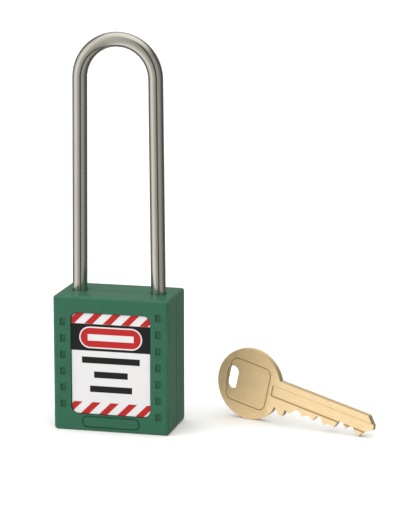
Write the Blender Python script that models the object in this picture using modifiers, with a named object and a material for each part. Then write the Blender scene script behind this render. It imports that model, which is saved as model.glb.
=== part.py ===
"""Long-shackle safety padlock: moulded case, pin-tumbler cylinder, ball locking and its key.

Metres, +Z up. The origin is the centre of the case's top face, between the shackle's legs,
so the padlock stands on z = -BODY_HEIGHT. The label side faces -Y, and the heel leg is at -X.
"""

import math

import bmesh
import bpy
from mathutils import Matrix, Vector

MM = 0.001

# Case
BODY_WIDTH = 38.0 * MM
BODY_DEPTH = 21.5 * MM
BODY_HEIGHT = 44.0 * MM
BODY_EDGE_RADIUS = 1.3 * MM
SIDE_WALL = 1.6 * MM
FACE_WALL = 2.0 * MM
TOP_WALL = 2.3 * MM
CAVITY_CORNER_RADIUS = 2.0 * MM
COVER_THICKNESS = 2.4 * MM

# Clearances
SEAT_GAP = 0.3 * MM
RUNNING_GAP = 0.15 * MM
LEG_GAP = 0.17 * MM

# Labels and moulded marks
LABEL_WIDTH = 26.0 * MM
LABEL_HEIGHT = 33.0 * MM
LABEL_CORNER_RADIUS = 2.2 * MM
LABEL_THICKNESS = 0.2 * MM
LABEL_TOP_MARGIN = 5.4 * MM
LABEL_RECESS_DEPTH = 0.8 * MM
LABEL_BOND_GAP = 0.1 * MM
LABEL_EDGE_GAP = 0.2 * MM
MARK_SIZE = (1.8 * MM, 0.4 * MM, 2.4 * MM)
MARK_DEPTH = 0.25 * MM
MARK_COUNTS = {"left": 6, "right": 7}
MARK_PITCH = 5.4 * MM

# Shackle
LEG_RADIUS = 2.38 * MM
SHACKLE_HEIGHT = 83.5 * MM
ARCH_INSET = 0.6 * MM
TOE_DEPTH = 12.2 * MM
HEEL_DEPTH = 30.0 * MM
SHACKLE_LIFT = 13.0 * MM
LEG_TIP_CHAMFER = 0.6 * MM
CLIP_DEPTH = 28.3 * MM
CLIP_THICKNESS = 0.7 * MM
CLIP_OVERLAP = 0.77 * MM
CLIP_GROOVE_RADIUS = 1.9 * MM
CLIP_MOUTH = 3.0 * MM
SPRING_BORE_WEB = 0.6 * MM
SHACKLE_SPRING_WIRE = 0.28 * MM
SHACKLE_SPRING_TURNS = 6

# Locking balls and cam
BALL_RADIUS = 2.6 * MM
BALL_DEPTH = 6.2 * MM
BALL_BITE = 1.2 * MM
BALL_TRAVEL = 3.6 * MM
CAM_GAP = 0.4 * MM
CAM_HALF_THICKNESS = 1.8 * MM
CAM_HUB_RADIUS = 3.1 * MM
CAM_HUB_LENGTH = 1.8 * MM
CAM_SWING_GAP = 0.93 * MM
LOCKING_BLOCK_HEIGHT = 8.2 * MM

# Cylinder
PLUG_RADIUS = 6.3 * MM
PLUG_FLANGE_RADIUS = 7.0 * MM
PLUG_FLANGE_THICKNESS = 1.4 * MM
PLUG_RECESS = 0.25 * MM
PLUG_HEAD = 0.6 * MM
PLUG_NECK_RADIUS = 3.2 * MM
TANG_SIZE = (4.6 * MM, 2.4 * MM)
TANG_LENGTH = 1.3 * MM
CIRCLIP_THICKNESS = 0.6 * MM
CIRCLIP_RADIUS = 6.95 * MM
CIRCLIP_GROOVE_RADIUS = 2.5 * MM
PIN_COUNT = 6
PIN_PITCH = 3.9 * MM
FIRST_PIN = 4.7 * MM
PIN_RADIUS = 1.1 * MM
DRIVER_LENGTH = 3.0 * MM
PIN_SPRING_WIRE = 0.16 * MM
PIN_SPRING_TURNS = 5
CHAMBER_COVER_THICKNESS = 0.6 * MM
SCREW_SPOT = (9.2 * MM, 5.6 * MM)
SCREW_RADIUS = 0.9 * MM
SCREW_HEAD_RADIUS = 1.8 * MM
SCREW_HEAD_HEIGHT = 1.0 * MM
SCREW_LENGTH = 9.0 * MM

# Key
KEY_THICKNESS = 2.2 * MM
KEY_BOW_RADIUS = 11.8 * MM
KEY_SPINE = 4.8 * MM
KEY_EDGE = 4.0 * MM
KEY_SHOULDER = 14.3 * MM
KEY_LENGTH = 46.0 * MM
KEY_CUT_ROOTS = (2.5 * MM, 2.9 * MM, 1.8 * MM, 2.9 * MM, 0.7 * MM, 1.0 * MM)
KEY_CUT_HALF_FLAT = 0.7 * MM
KEY_PEAK_RISE = 1.5 * MM
KEY_HOLE_SIZE = (4.0 * MM, 8.2 * MM)
KEY_HOLE_OFFSET = 6.6 * MM
KEY_GROOVE = (-1.1 * MM, 2.6 * MM)
KEY_GROOVE_DEPTH = 0.5 * MM
KEYWAY_GAP = 0.25 * MM
BLADE_OFFSET = 0.05 * MM
KEY_SPOT = (39.8 * MM, 16.3 * MM)
KEY_HEADING = math.radians(-17.0)

# Mesh fineness
ROUND_SIDES = 40
SMALL_SIDES = 16
CORNER_STEPS = 4

# Heights and places that follow from the sizes above
FLOOR_Z = -BODY_HEIGHT
CAVITY_HALF_X = BODY_WIDTH / 2 - SIDE_WALL
CAVITY_HALF_Y = BODY_DEPTH / 2 - FACE_WALL
BLOCK_HALF_X = CAVITY_HALF_X - SEAT_GAP
BLOCK_HALF_Y = CAVITY_HALF_Y - SEAT_GAP
BLOCK_CORNER_RADIUS = CAVITY_CORNER_RADIUS - SEAT_GAP
LEG_BORE_RADIUS = LEG_RADIUS + LEG_GAP
CLIP_RADIUS = LEG_RADIUS + CLIP_OVERLAP
SPRING_BORE_RADIUS = CLIP_RADIUS + SEAT_GAP
LEG_X = BLOCK_HALF_X - SPRING_BORE_WEB - SPRING_BORE_RADIUS
ARCH_RADIUS = LEG_X - ARCH_INSET
ARCH_Z = SHACKLE_HEIGHT - ARCH_RADIUS - LEG_RADIUS
LEG_INNER_X = LEG_X - LEG_RADIUS
BALL_X = LEG_INNER_X + BALL_BITE - BALL_RADIUS
BALL_BORE_RADIUS = BALL_RADIUS + RUNNING_GAP
CAM_LONG_RADIUS = BALL_X - BALL_RADIUS - CAM_GAP
CAM_CHAMBER_RADIUS = CAM_LONG_RADIUS + CAM_SWING_GAP
LOCKING_BLOCK_TOP = -TOP_WALL - SEAT_GAP
LOCKING_BLOCK_BOTTOM = LOCKING_BLOCK_TOP - LOCKING_BLOCK_HEIGHT
HOUSING_TOP = LOCKING_BLOCK_BOTTOM - SEAT_GAP
COVER_TOP = FLOOR_Z + COVER_THICKNESS
HOUSING_BOTTOM = COVER_TOP + SEAT_GAP
SPRING_LEDGE_Z = -CLIP_DEPTH + CLIP_THICKNESS / 2 + SHACKLE_LIFT + SEAT_GAP
PLUG_FACE_Z = FLOOR_Z + PLUG_RECESS
PLUG_SHOULDER_Z = PLUG_FACE_Z + PLUG_FLANGE_THICKNESS
PLUG_TOP = HOUSING_TOP - PLUG_HEAD
PLUG_BORE_RADIUS = PLUG_RADIUS + RUNNING_GAP
CIRCLIP_BOTTOM = HOUSING_TOP + SEAT_GAP
CAM_TOP = -BALL_DEPTH + CAM_HALF_THICKNESS
CAM_BOTTOM = -BALL_DEPTH - CAM_HALF_THICKNESS
CAM_HUB_BOTTOM = CAM_BOTTOM - CAM_HUB_LENGTH
NECK_TOP = CIRCLIP_BOTTOM + CIRCLIP_THICKNESS + SEAT_GAP
TANG_TOP = NECK_TOP + TANG_LENGTH
PIN_BORE_RADIUS = PIN_RADIUS + RUNNING_GAP
KEY_PLUG_SHIFT = (KEY_SPINE - KEY_EDGE) / 2 + BLADE_OFFSET
DRIVER_INNER_X = PLUG_BORE_RADIUS + RUNNING_GAP
DRIVER_OUTER_X = DRIVER_INNER_X + DRIVER_LENGTH
CHAMBER_COVER_X = BLOCK_HALF_X - CHAMBER_COVER_THICKNESS - RUNNING_GAP
PIN_SPRING_END_X = CHAMBER_COVER_X - RUNNING_GAP
PIN_SPRING_RADIUS = PIN_RADIUS - PIN_SPRING_WIRE
SCREW_SPOTS = ((SCREW_SPOT[0], SCREW_SPOT[1]), (-SCREW_SPOT[0], -SCREW_SPOT[1]))
LABEL_CENTRE_Z = -LABEL_TOP_MARGIN - LABEL_HEIGHT / 2
MARK_X = (BODY_WIDTH / 2 + LABEL_WIDTH / 2 + LABEL_EDGE_GAP) / 2 - BODY_EDGE_RADIUS / 4

X_AXIS = Vector((1, 0, 0))
Y_AXIS = Vector((0, 1, 0))
Z_AXIS = Vector((0, 0, 1))


def clear_scene():
    for obj in list(bpy.data.objects):
        bpy.data.objects.remove(obj, do_unlink=True)


def new_collection(name):
    collection = bpy.data.collections.new(name)
    bpy.context.scene.collection.children.link(collection)
    return collection


def material(name, colour, roughness, metallic):
    mat = bpy.data.materials.new(name)
    mat.use_nodes = True
    shader = mat.node_tree.nodes["Principled BSDF"]
    shader.inputs["Base Color"].default_value = (*colour, 1.0)
    shader.inputs["Roughness"].default_value = roughness
    shader.inputs["Metallic"].default_value = metallic
    return mat


clear_scene()
PARTS = new_collection("safety_padlock")
CUTTERS = new_collection("cutters")
FINISHES = {
    "case": material("green_nylon", (0.035, 0.135, 0.085), 0.42, 0.0),
    "label": material("label_film", (0.68, 0.68, 0.68), 0.35, 0.0),
    "steel": material("satin_steel", (0.42, 0.40, 0.36), 0.3, 1.0),
    "spring": material("spring_steel", (0.5, 0.5, 0.5), 0.25, 1.0),
    "zinc": material("zinc_casting", (0.45, 0.45, 0.46), 0.5, 1.0),
    "brass": material("plain_brass", (0.66, 0.47, 0.22), 0.32, 1.0),
}


def add_part(name, mesh, finish, location=(0, 0, 0), rotation=None):
    """Link one sub-part with its own material into the padlock's collection."""
    obj = bpy.data.objects.new(name, mesh)
    own = FINISHES[finish].copy()
    own.name = f"{name}_finish"
    mesh.materials.clear()
    mesh.materials.append(own)
    PARTS.objects.link(obj)
    set_place(obj, location, rotation)
    return obj


def add_cutter(name, mesh, location=(0, 0, 0), rotation=None):
    obj = bpy.data.objects.new(name, mesh)
    obj.hide_render = True
    obj.display_type = "WIRE"
    CUTTERS.objects.link(obj)
    set_place(obj, location, rotation)
    return obj


def set_place(obj, location, rotation):
    obj.location = location
    if rotation is not None:
        obj.rotation_euler = rotation.to_euler()


def along(axis):
    """Rotation that turns +Z onto an axis."""
    return Z_AXIS.rotation_difference(axis).to_matrix()


def shade(mesh, angle=35):
    mesh.shade_smooth()
    mesh.set_sharp_from_angle(angle=math.radians(angle))
    return mesh


def mesh_from(name, build):
    """A mesh that a bmesh function fills."""
    bm = bmesh.new()
    build(bm)
    mesh = bpy.data.meshes.new(name)
    bm.to_mesh(mesh)
    bm.free()
    return mesh


def box_mesh(name, size):
    def build(bm):
        bmesh.ops.create_cube(bm, size=1.0)
        bmesh.ops.scale(bm, vec=size, verts=bm.verts)

    return mesh_from(name, build)


def rod_mesh(name, radius, length, sides=ROUND_SIDES, end_radius=None):
    def build(bm):
        bmesh.ops.create_cone(
            bm,
            cap_ends=True,
            segments=sides,
            radius1=radius,
            radius2=radius if end_radius is None else end_radius,
            depth=length,
        )

    return shade(mesh_from(name, build))


def ball_mesh(name, radius):
    def build(bm):
        bmesh.ops.create_uvsphere(bm, u_segments=20, v_segments=12, radius=radius)

    return shade(mesh_from(name, build), 60)


def mesh_of_curve(obj):
    """The curve's shape as a closed mesh; the curve goes."""
    depsgraph = bpy.context.evaluated_depsgraph_get()
    mesh = bpy.data.meshes.new_from_object(obj.evaluated_get(depsgraph))
    bm = bmesh.new()
    bm.from_mesh(mesh)
    bmesh.ops.remove_doubles(bm, verts=bm.verts, dist=1e-7)
    bmesh.ops.recalc_face_normals(bm, faces=bm.faces)
    bm.to_mesh(mesh)
    bm.free()
    curve = obj.data
    bpy.data.objects.remove(obj, do_unlink=True)
    bpy.data.curves.remove(curve)
    return mesh


def flat_mesh(name, outlines, thickness):
    """A flat plate in local XY, centred on z = 0; later outlines are its holes."""
    curve = bpy.data.curves.new(name, "CURVE")
    curve.dimensions = "2D"
    curve.fill_mode = "BOTH"
    curve.extrude = thickness / 2
    for outline in outlines:
        spline = curve.splines.new("POLY")
        spline.points.add(len(outline) - 1)
        for point, (x, y) in zip(spline.points, outline):
            point.co = (x, y, 0, 1)
        spline.use_cyclic_u = True
    obj = bpy.data.objects.new(name, curve)
    PARTS.objects.link(obj)
    return shade(mesh_of_curve(obj))


def wire_mesh(name, points, radius, resolution, scales=None):
    """A round wire along a poly line, with filled ends."""
    curve = bpy.data.curves.new(name, "CURVE")
    curve.dimensions = "3D"
    curve.bevel_depth = radius
    curve.bevel_resolution = resolution
    curve.use_fill_caps = True
    spline = curve.splines.new("POLY")
    spline.points.add(len(points) - 1)
    for index, point in enumerate(spline.points):
        point.co = (*points[index], 1)
        point.radius = 1.0 if scales is None else scales[index]
    obj = bpy.data.objects.new(name, curve)
    PARTS.objects.link(obj)
    return shade(mesh_of_curve(obj))


def coil_points(radius, length, turns, steps=10):
    """A helix about +Z from z = 0 to z = length."""
    count = turns * steps
    return [
        (
            radius * math.cos(math.tau * index / steps),
            radius * math.sin(math.tau * index / steps),
            length * index / count,
        )
        for index in range(count + 1)
    ]


def rounded_rectangle(half_x, half_y, radius, steps=CORNER_STEPS):
    points = []
    corners = ((1, 1, 0), (-1, 1, 90), (-1, -1, 180), (1, -1, 270))
    for sign_x, sign_y, start in corners:
        centre_x = sign_x * (half_x - radius)
        centre_y = sign_y * (half_y - radius)
        for step in range(steps + 1):
            angle = math.radians(start + 90 * step / steps)
            points.append((centre_x + radius * math.cos(angle), centre_y + radius * math.sin(angle)))
    return points


def block_mesh(name, half_x, half_y, radius, height):
    return flat_mesh(name, [rounded_rectangle(half_x, half_y, radius)], height)


def boolean(obj, tools, operation="DIFFERENCE"):
    for tool in tools:
        modifier = obj.modifiers.new(tool.name, "BOOLEAN")
        modifier.operation = operation
        modifier.object = tool


def rod_cutter(name, radius, start, end, sides=ROUND_SIDES):
    """A round cutter from one point to another."""
    start = Vector(start)
    end = Vector(end)
    span = end - start
    mesh = rod_mesh(name, radius, span.length, sides)
    return add_cutter(name, mesh, (start + end) / 2, along(span.normalized()))


def box_cutter(name, low, high):
    low = Vector(low)
    high = Vector(high)
    return add_cutter(name, box_mesh(name, high - low), (low + high) / 2)


def turned_part(name, profile, finish, sides=ROUND_SIDES):
    """A turned piece about Z; the profile runs from the top of the axis down to its foot."""
    mesh = bpy.data.meshes.new(name)
    vertices = [(radius, 0, z) for radius, z in profile]
    edges = [(index, index + 1) for index in range(len(profile) - 1)]
    mesh.from_pydata(vertices, edges, [])
    obj = add_part(name, mesh, finish)
    screw = obj.modifiers.new("turn", "SCREW")
    screw.axis = "Z"
    screw.angle = math.tau
    screw.steps = sides
    screw.render_steps = sides
    screw.use_merge_vertices = True
    screw.merge_threshold = 1e-6
    screw.use_smooth_shade = False
    return obj


def mark_cutters():
    """Small blank tiles sunk into the face on both sides of the label."""
    cutters = []
    for side, count in MARK_COUNTS.items():
        x = MARK_X if side == "right" else -MARK_X
        for index in range(count):
            z = LABEL_CENTRE_Z + ((count - 1) / 2 - index) * MARK_PITCH
            centre = (x, -BODY_DEPTH / 2 - MARK_SIZE[1] / 2 + MARK_DEPTH, z)
            name = f"mark_{side}_{index + 1}"
            cutters.append(add_cutter(name, box_mesh(name, MARK_SIZE), centre))
    return cutters


def label_recess_cutter(name, facing):
    recess = LABEL_RECESS_DEPTH * 2
    mesh = block_mesh(
        name,
        LABEL_WIDTH / 2 + LABEL_EDGE_GAP,
        LABEL_HEIGHT / 2 + LABEL_EDGE_GAP,
        LABEL_CORNER_RADIUS + LABEL_EDGE_GAP,
        recess,
    )
    return add_cutter(name, mesh, (0, facing * BODY_DEPTH / 2, LABEL_CENTRE_Z), along(Y_AXIS))


def leg_hole_cutters(low, high, label):
    return [
        rod_cutter(f"{label}_{side}", LEG_BORE_RADIUS, (x, 0, low), (x, 0, high))
        for side, x in (("heel", -LEG_X), ("toe", LEG_X))
    ]


def make_case():
    case = add_part(
        "case_shell",
        box_mesh("case_shell", (BODY_WIDTH, BODY_DEPTH, BODY_HEIGHT)),
        "case",
        (0, 0, FLOOR_Z / 2),
    )
    edge = case.modifiers.new("edges", "BEVEL")
    edge.width = BODY_EDGE_RADIUS
    edge.segments = 4
    edge.limit_method = "NONE"
    depth = BODY_HEIGHT - TOP_WALL
    cavity = add_cutter(
        "case_cavity",
        block_mesh("case_cavity", CAVITY_HALF_X, CAVITY_HALF_Y, CAVITY_CORNER_RADIUS, depth * 2),
        (0, 0, -TOP_WALL - depth),
    )
    recesses = [label_recess_cutter("front_recess", -1), label_recess_cutter("rear_recess", 1)]
    boolean(case, [cavity, *recesses])
    boolean(case, leg_hole_cutters(-TOP_WALL * 2, TOP_WALL, "case_leg_hole"))
    boolean(case, mark_cutters())


def make_label(name, facing):
    mesh = block_mesh(name, LABEL_WIDTH / 2, LABEL_HEIGHT / 2, LABEL_CORNER_RADIUS, LABEL_THICKNESS)
    depth = LABEL_RECESS_DEPTH - LABEL_BOND_GAP - LABEL_THICKNESS / 2
    y = facing * (BODY_DEPTH / 2 - depth)
    add_part(name, mesh, "label", (0, y, LABEL_CENTRE_Z), along(Y_AXIS))


def make_base_cover():
    cover = add_part(
        "base_cover",
        block_mesh("base_cover", BLOCK_HALF_X, BLOCK_HALF_Y, BLOCK_CORNER_RADIUS, COVER_THICKNESS),
        "case",
        (0, 0, FLOOR_Z + COVER_THICKNESS / 2),
    )
    below = FLOOR_Z - SEAT_GAP
    above = COVER_TOP + SEAT_GAP
    ledge = PLUG_SHOULDER_Z + RUNNING_GAP
    flange_bore = rod_cutter(
        "cover_flange_bore", PLUG_FLANGE_RADIUS + RUNNING_GAP, (0, 0, below), (0, 0, ledge)
    )
    plug_hole = rod_cutter("cover_plug_hole", PLUG_BORE_RADIUS, (0, 0, below), (0, 0, above))
    boolean(cover, [flange_bore, plug_hole])
    for number, (x, y) in enumerate(SCREW_SPOTS, 1):
        head_top = FLOOR_Z + RUNNING_GAP + SCREW_HEAD_HEIGHT + SEAT_GAP
        head = rod_cutter(
            f"screw_seat_{number}",
            SCREW_HEAD_RADIUS + RUNNING_GAP,
            (x, y, below),
            (x, y, head_top),
            SMALL_SIDES,
        )
        hole = rod_cutter(
            f"screw_clearance_{number}",
            SCREW_RADIUS + RUNNING_GAP,
            (x, y, below),
            (x, y, above),
            SMALL_SIDES,
        )
        boolean(cover, [head, hole])


def make_cover_screws():
    for number, (x, y) in enumerate(SCREW_SPOTS, 1):
        foot = FLOOR_Z + RUNNING_GAP
        neck = foot + SCREW_HEAD_HEIGHT
        tip = foot + SCREW_LENGTH
        profile = [
            (0, tip),
            (SCREW_RADIUS, tip),
            (SCREW_RADIUS, neck),
            (SCREW_HEAD_RADIUS, neck),
            (SCREW_HEAD_RADIUS, foot),
            (0, foot),
        ]
        screw = turned_part(f"cover_screw_{number}", profile, "steel", SMALL_SIDES)
        screw.location = (x, y, 0)
        slot = SCREW_HEAD_RADIUS / 4
        slot_box = box_cutter(
            f"screw_slot_{number}",
            (x - SCREW_HEAD_RADIUS * 1.2, y - slot / 2, foot - slot),
            (x + SCREW_HEAD_RADIUS * 1.2, y + slot / 2, foot + slot),
        )
        boolean(screw, [slot_box])


def make_locking_block():
    block = add_part(
        "locking_block",
        block_mesh(
            "locking_block", BLOCK_HALF_X, BLOCK_HALF_Y, BLOCK_CORNER_RADIUS, LOCKING_BLOCK_HEIGHT
        ),
        "zinc",
        (0, 0, (LOCKING_BLOCK_TOP + LOCKING_BLOCK_BOTTOM) / 2),
    )
    chamber = rod_cutter(
        "cam_chamber",
        CAM_CHAMBER_RADIUS,
        (0, 0, LOCKING_BLOCK_BOTTOM - SEAT_GAP),
        (0, 0, CAM_TOP + SEAT_GAP),
    )
    ball_bore = rod_cutter(
        "ball_bore", BALL_BORE_RADIUS, (-LEG_X, 0, -BALL_DEPTH), (LEG_X, 0, -BALL_DEPTH), 28
    )
    boolean(block, [chamber, ball_bore])
    low = LOCKING_BLOCK_BOTTOM - SEAT_GAP
    boolean(block, leg_hole_cutters(low, LOCKING_BLOCK_TOP + SEAT_GAP, "block_leg_bore"))


def pin_z(index):
    """Height of a pin chamber, counted from the plug's outer face."""
    return PLUG_FACE_Z + FIRST_PIN + index * PIN_PITCH


def make_cylinder_housing():
    height = HOUSING_TOP - HOUSING_BOTTOM
    housing = add_part(
        "cylinder_housing",
        block_mesh("cylinder_housing", BLOCK_HALF_X, BLOCK_HALF_Y, BLOCK_CORNER_RADIUS, height),
        "zinc",
        (0, 0, (HOUSING_TOP + HOUSING_BOTTOM) / 2),
    )
    low = HOUSING_BOTTOM - SEAT_GAP
    high = HOUSING_TOP + SEAT_GAP
    toe_floor = -TOE_DEPTH - 2 * SEAT_GAP
    cutters = [
        rod_cutter("plug_bore", PLUG_BORE_RADIUS, (0, 0, low), (0, 0, high)),
        rod_cutter("heel_guide", LEG_BORE_RADIUS, (-LEG_X, 0, low), (-LEG_X, 0, high)),
        rod_cutter("heel_spring_bore", SPRING_BORE_RADIUS, (-LEG_X, 0, low), (-LEG_X, 0, SPRING_LEDGE_Z)),
        rod_cutter("toe_pocket", LEG_BORE_RADIUS, (LEG_X, 0, toe_floor), (LEG_X, 0, high)),
    ]
    for index in range(PIN_COUNT):
        start = (PLUG_RADIUS / 2, 0, pin_z(index))
        end = (BLOCK_HALF_X + SEAT_GAP, 0, pin_z(index))
        cutters.append(rod_cutter(f"pin_bore_{index + 1}", PIN_BORE_RADIUS, start, end, SMALL_SIDES))
    half_width = PIN_BORE_RADIUS + 2 * SEAT_GAP
    cutters.append(
        box_cutter(
            "chamber_cover_seat",
            (CHAMBER_COVER_X - RUNNING_GAP, -half_width, pin_z(0) - half_width),
            (BLOCK_HALF_X + SEAT_GAP, half_width, pin_z(PIN_COUNT - 1) + half_width),
        )
    )
    for number, (x, y) in enumerate(SCREW_SPOTS, 1):
        top = FLOOR_Z + SCREW_LENGTH + 2 * SEAT_GAP
        cutters.append(
            rod_cutter(
                f"screw_bore_{number}", SCREW_RADIUS + RUNNING_GAP, (x, y, low), (x, y, top), SMALL_SIDES
            )
        )
    boolean(housing, cutters)


def make_pin_stacks():
    """Drivers and springs in the housing, key pins in the plug, split at the shear line."""
    key_pin_end = PLUG_RADIUS - RUNNING_GAP
    for index in range(PIN_COUNT):
        number = index + 1
        z = pin_z(index)
        driver_x = (DRIVER_INNER_X + DRIVER_OUTER_X) / 2
        driver = rod_mesh(f"driver_pin_{number}", PIN_RADIUS, DRIVER_LENGTH, SMALL_SIDES)
        add_part(f"driver_pin_{number}", driver, "brass", (driver_x, 0, z), along(X_AXIS))
        spring_start = DRIVER_OUTER_X + PIN_SPRING_WIRE + RUNNING_GAP
        length = PIN_SPRING_END_X - PIN_SPRING_WIRE - spring_start
        path = coil_points(PIN_SPRING_RADIUS - PIN_SPRING_WIRE, length, PIN_SPRING_TURNS, 7)
        spring = wire_mesh(f"pin_spring_{number}", path, PIN_SPRING_WIRE, 2)
        add_part(f"pin_spring_{number}", spring, "spring", (spring_start, 0, z), along(X_AXIS))
        inner_end = KEY_CUT_ROOTS[index] - KEY_PLUG_SHIFT + RUNNING_GAP
        pin_length = key_pin_end - inner_end
        pin = rod_mesh(
            f"key_pin_{number}", PIN_RADIUS, pin_length - PIN_RADIUS / 2, SMALL_SIDES
        )
        point = rod_mesh(
            f"key_pin_point_{number}", PIN_RADIUS / 2, PIN_RADIUS, SMALL_SIDES, PIN_RADIUS
        )
        centre = (key_pin_end + inner_end + PIN_RADIUS / 2) / 2
        part = add_part(f"key_pin_{number}", pin, "brass", (centre, 0, z), along(X_AXIS))
        cone = add_cutter(f"key_pin_point_{number}", point, (inner_end + PIN_RADIUS / 2, 0, z), along(X_AXIS))
        boolean(part, [cone], "UNION")
    low_z = pin_z(0) - PIN_BORE_RADIUS - SEAT_GAP
    high_z = pin_z(PIN_COUNT - 1) + PIN_BORE_RADIUS + SEAT_GAP
    size = (CHAMBER_COVER_THICKNESS, 2 * (PIN_BORE_RADIUS + SEAT_GAP), high_z - low_z)
    centre = (CHAMBER_COVER_X + CHAMBER_COVER_THICKNESS / 2, 0, (low_z + high_z) / 2)
    add_part("pin_chamber_cover", box_mesh("pin_chamber_cover", size), "brass", centre)


def keyway_outline():
    """The key's section with its clearance, in the plug's X and Y."""
    half = KEY_THICKNESS / 2 + KEYWAY_GAP
    rib = KEY_THICKNESS / 2 - KEY_GROOVE_DEPTH + KEYWAY_GAP
    spine = -KEY_SPINE - KEY_PLUG_SHIFT - KEYWAY_GAP
    edge = KEY_EDGE - KEY_PLUG_SHIFT + KEYWAY_GAP
    rib_low = -KEY_GROOVE[1] - KEY_PLUG_SHIFT + KEYWAY_GAP
    rib_high = -KEY_GROOVE[0] - KEY_PLUG_SHIFT - KEYWAY_GAP
    return [
        (spine, -half),
        (rib_low, -half),
        (rib_low, -rib),
        (rib_high, -rib),
        (rib_high, -half),
        (edge, -half),
        (edge, half),
        (spine, half),
    ]


def make_plug():
    tip_z = PLUG_FACE_Z + (KEY_LENGTH - KEY_SHOULDER) + KEYWAY_GAP
    keyway_top = min(tip_z, PLUG_TOP - PLUG_HEAD)
    groove_low = CIRCLIP_BOTTOM - RUNNING_GAP
    groove_high = CIRCLIP_BOTTOM + CIRCLIP_THICKNESS + RUNNING_GAP
    profile = [
        (0, NECK_TOP),
        (PLUG_NECK_RADIUS, NECK_TOP),
        (PLUG_NECK_RADIUS, groove_high),
        (CIRCLIP_GROOVE_RADIUS, groove_high),
        (CIRCLIP_GROOVE_RADIUS, groove_low),
        (PLUG_NECK_RADIUS, groove_low),
        (PLUG_NECK_RADIUS, PLUG_TOP),
        (PLUG_RADIUS, PLUG_TOP),
        (PLUG_RADIUS, PLUG_SHOULDER_Z),
        (PLUG_FLANGE_RADIUS, PLUG_SHOULDER_Z),
        (PLUG_FLANGE_RADIUS, PLUG_FACE_Z),
        (0, PLUG_FACE_Z),
    ]
    plug = turned_part("plug", profile, "brass")
    tang_low = NECK_TOP - SEAT_GAP
    tang = box_cutter(
        "plug_tang",
        (-TANG_SIZE[0] / 2, -TANG_SIZE[1] / 2, tang_low),
        (TANG_SIZE[0] / 2, TANG_SIZE[1] / 2, TANG_TOP),
    )
    boolean(plug, [tang], "UNION")
    low = PLUG_FACE_Z - SEAT_GAP
    keyway = add_cutter(
        "keyway", flat_mesh("keyway", [keyway_outline()], keyway_top - low), (0, 0, (keyway_top + low) / 2)
    )
    chambers = [
        rod_cutter(
            f"plug_pin_bore_{index + 1}",
            PIN_BORE_RADIUS,
            (0, 0, pin_z(index)),
            (PLUG_RADIUS + SEAT_GAP, 0, pin_z(index)),
            SMALL_SIDES,
        )
        for index in range(PIN_COUNT)
    ]
    boolean(plug, [keyway, *chambers])


def open_ring(name, inner, outer, thickness, mouth, finish, location):
    """A flat C-shaped ring whose mouth opens towards -Y."""
    half_angle = math.asin(mouth / 2 / inner)
    steps = 20
    start = -math.pi / 2 + half_angle
    sweep = math.tau - 2 * half_angle
    angles = [start + sweep * step / steps for step in range(steps + 1)]
    outline = [(outer * math.cos(angle), outer * math.sin(angle)) for angle in angles]
    outline += [(inner * math.cos(angle), inner * math.sin(angle)) for angle in reversed(angles)]
    return add_part(name, flat_mesh(name, [outline], thickness), finish, location)


def cam_outline():
    """Twin-lobed spiral: its reach along X falls evenly as it turns a quarter turn."""
    points = []
    for step in range(ROUND_SIDES):
        angle = math.tau * step / ROUND_SIDES
        from_lobe = abs(math.atan2(math.sin(angle), abs(math.cos(angle))))
        radius = CAM_LONG_RADIUS - BALL_TRAVEL * from_lobe / (math.pi / 2)
        points.append((radius * math.cos(angle), radius * math.sin(angle)))
    return points


def make_cam():
    thickness = CAM_TOP - CAM_BOTTOM
    cam = add_part("cam", flat_mesh("cam", [cam_outline()], thickness), "steel", (0, 0, -BALL_DEPTH))
    hub = rod_cutter("cam_hub", CAM_HUB_RADIUS, (0, 0, CAM_HUB_BOTTOM), (0, 0, CAM_BOTTOM + SEAT_GAP))
    boolean(cam, [hub], "UNION")
    slot = box_cutter(
        "cam_slot",
        (-TANG_SIZE[0] / 2 - RUNNING_GAP, -TANG_SIZE[1] / 2 - RUNNING_GAP, CAM_HUB_BOTTOM - SEAT_GAP),
        (TANG_SIZE[0] / 2 + RUNNING_GAP, TANG_SIZE[1] / 2 + RUNNING_GAP, TANG_TOP + SEAT_GAP),
    )
    boolean(cam, [slot])


def make_balls():
    for side, x in (("left", -BALL_X), ("right", BALL_X)):
        name = f"ball_{side}"
        add_part(name, ball_mesh(name, BALL_RADIUS), "spring", (x, 0, -BALL_DEPTH))


def shackle_path():
    """Heel tip up, over the arch and down to the toe, as points and radius factors."""
    groove_half = CLIP_THICKNESS / 2 + RUNNING_GAP
    groove_scale = CLIP_GROOVE_RADIUS / LEG_RADIUS
    tip_scale = 1 - LEG_TIP_CHAMFER / LEG_RADIUS
    step = 0.01 * MM
    heel = [
        (-HEEL_DEPTH, tip_scale),
        (-HEEL_DEPTH + LEG_TIP_CHAMFER, 1),
        (-CLIP_DEPTH - groove_half, 1),
        (-CLIP_DEPTH - groove_half + step, groove_scale),
        (-CLIP_DEPTH + groove_half - step, groove_scale),
        (-CLIP_DEPTH + groove_half, 1),
        (TOP_WALL, 1),
    ]
    points = [(-LEG_X, 0, z) for z, scale in heel]
    scales = [scale for z, scale in heel]
    arch_steps = 26
    for index in range(arch_steps + 1):
        angle = math.pi * (1 - index / arch_steps)
        points.append((ARCH_RADIUS * math.cos(angle), 0, ARCH_Z + ARCH_RADIUS * math.sin(angle)))
        scales.append(1)
    for z, scale in ((TOP_WALL, 1), (-TOE_DEPTH + LEG_TIP_CHAMFER, 1), (-TOE_DEPTH, tip_scale)):
        points.append((LEG_X, 0, z))
        scales.append(scale)
    return points, scales


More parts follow.
